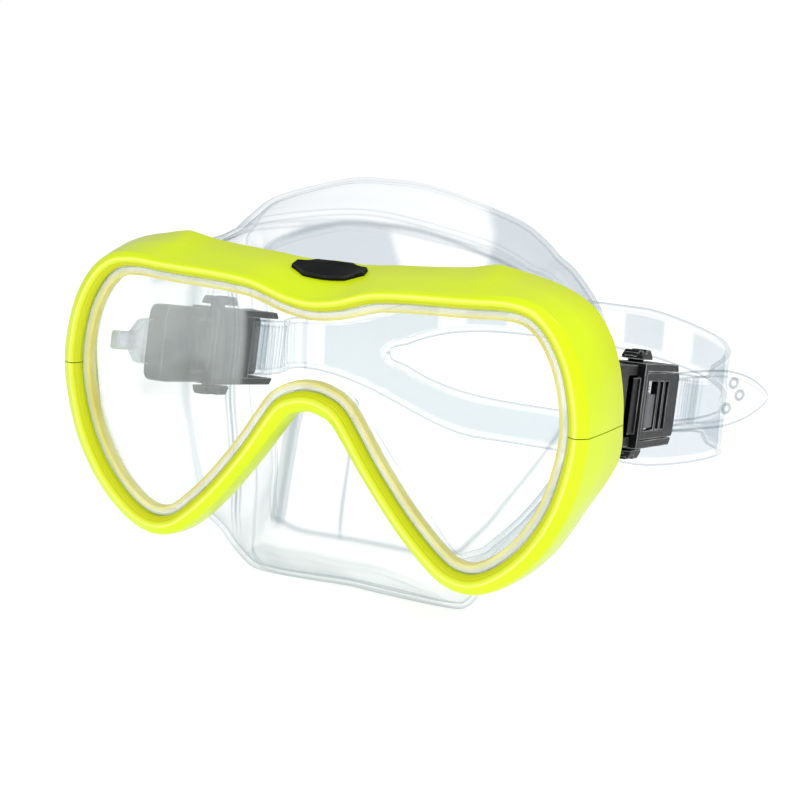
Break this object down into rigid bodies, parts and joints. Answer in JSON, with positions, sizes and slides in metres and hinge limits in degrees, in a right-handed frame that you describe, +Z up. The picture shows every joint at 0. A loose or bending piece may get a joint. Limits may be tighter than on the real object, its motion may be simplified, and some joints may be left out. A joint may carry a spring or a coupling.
{
  "type": "snorkel mask",
  "caption": "Single-lens snorkelling mask: yellow split frame, clear skirt with nose pocket, swivel buckles with ladder gates, rollers and squeeze buttons, and a slotted head strap.",
  "frame": {"origin": "centre of the glass's rear face, on the mask's symmetry plane, 12.5 mm above the frame's side seams", "axes": "+X towards the wearer's left, +Y back towards the wearer, +Z up the wearer's face"},
  "size_m": [0.2026, 0.1728, 0.1249],
  "materials": {
    "frame_yellow": "satin to gloss moulded yellow-green",
    "clear_plastic": "clear polished polycarbonate",
    "tempered_glass": "polished clear tempered glass",
    "clear_silicone": "translucent clear silicone rubber",
    "black_plastic": "fine-textured black acetal",
    "steel": "stainless pins and springs"
  },
  "bodies": {
    "mask": {"upper_frame": "frame_yellow", "lower_frame": "frame_yellow", "retaining_ring": "clear_plastic", "lens": "tempered_glass", "skirt": "clear_silicone", "brow_badge": "black_plastic", "head_strap": "clear_silicone", "left_buckle_bracket": "black_plastic", "left_pivot_pin": "steel", "right_buckle_bracket": "black_plastic", "right_pivot_pin": "steel"},
    "left_buckle": {"left_buckle_body": "black_plastic", "left_roller_axle": "steel", "left_gate_pin": "steel", "left_strap_end": "clear_silicone"},
    "left_gate": {"left_ladder_gate": "black_plastic", "left_pawl_pin": "steel", "left_pawl_spring": "steel"},
    "left_pawl": {"left_locking_pawl": "black_plastic"},
    "left_roller": {"left_strap_roller": "black_plastic"},
    "left_button_up": {"left_upper_button": "black_plastic"},
    "left_button_down": {"left_lower_button": "black_plastic"},
    "right_buckle": {"right_buckle_body": "black_plastic", "right_roller_axle": "steel", "right_gate_pin": "steel", "right_strap_end": "clear_silicone"},
    "right_gate": {"right_ladder_gate": "black_plastic", "right_pawl_pin": "steel", "right_pawl_spring": "steel"},
    "right_pawl": {"right_locking_pawl": "black_plastic"},
    "right_roller": {"right_strap_roller": "black_plastic"},
    "right_button_up": {"right_upper_button": "black_plastic"},
    "right_button_down": {"right_lower_button": "black_plastic"}
  },
  "joints": [
    {"name": "left_buckle_swivel", "type": "hinge", "parent": "mask", "child": "left_buckle", "pos_m": [0.0715, 0.0499, -0.0169], "axis": [0, -0.1959, -0.9806], "range_deg": [-5, 25]},
    {"name": "left_gate_open", "type": "hinge", "parent": "left_buckle", "child": "left_gate", "pos_m": [0.075, 0.06069, -0.01905], "axis": [0, -0.1959, -0.9806], "range_deg": [0, 60]},
    {"name": "left_pawl_lift", "type": "hinge", "parent": "left_gate", "child": "left_pawl", "pos_m": [0.075, 0.06422, -0.01976], "axis": [0, -0.1959, -0.9806], "range_deg": [0, 10]},
    {"name": "left_roller_spin", "type": "hinge", "parent": "left_buckle", "child": "left_roller", "pos_m": [0.0704, 0.06951, -0.02082], "axis": [0, 0.1959, 0.9806], "continuous": true},
    {"name": "left_upper_press", "type": "slide", "parent": "left_buckle", "child": "left_button_up", "axis": [0, -0.1959, -0.9806], "range_m": [0, 0.0008]},
    {"name": "left_lower_press", "type": "slide", "parent": "left_buckle", "child": "left_button_down", "axis": [0, 0.1959, 0.9806], "range_m": [0, 0.0008]},
    {"name": "right_buckle_swivel", "type": "hinge", "parent": "mask", "child": "right_buckle", "pos_m": [-0.0715, 0.0499, -0.0169], "axis": [0, 0.1959, 0.9806], "range_deg": [-5, 25]},
    {"name": "right_gate_open", "type": "hinge", "parent": "right_buckle", "child": "right_gate", "pos_m": [-0.075, 0.06069, -0.01905], "axis": [0, 0.1959, 0.9806], "range_deg": [0, 60]},
    {"name": "right_pawl_lift", "type": "hinge", "parent": "right_gate", "child": "right_pawl", "pos_m": [-0.075, 0.06422, -0.01976], "axis": [0, 0.1959, 0.9806], "range_deg": [0, 10]},
    {"name": "right_roller_spin", "type": "hinge", "parent": "right_buckle", "child": "right_roller", "pos_m": [-0.0704, 0.06951, -0.02082], "axis": [0, 0.1959, 0.9806], "continuous": true},
    {"name": "right_upper_press", "type": "slide", "parent": "right_buckle", "child": "right_button_up", "axis": [0, -0.1959, -0.9806], "range_m": [0, 0.0008]},
    {"name": "right_lower_press", "type": "slide", "parent": "right_buckle", "child": "right_button_down", "axis": [0, 0.1959, 0.9806], "range_m": [0, 0.0008]}
  ],
  "couplings": [
    {"joint": "left_lower_press", "follows": "left_upper_press", "ratio": 1},
    {"joint": "left_pawl_lift", "follows": "left_upper_press", "rad_per_m": 218.15},
    {"joint": "right_lower_press", "follows": "right_upper_press", "ratio": 1},
    {"joint": "right_pawl_lift", "follows": "right_upper_press", "rad_per_m": 218.15}
  ]
}
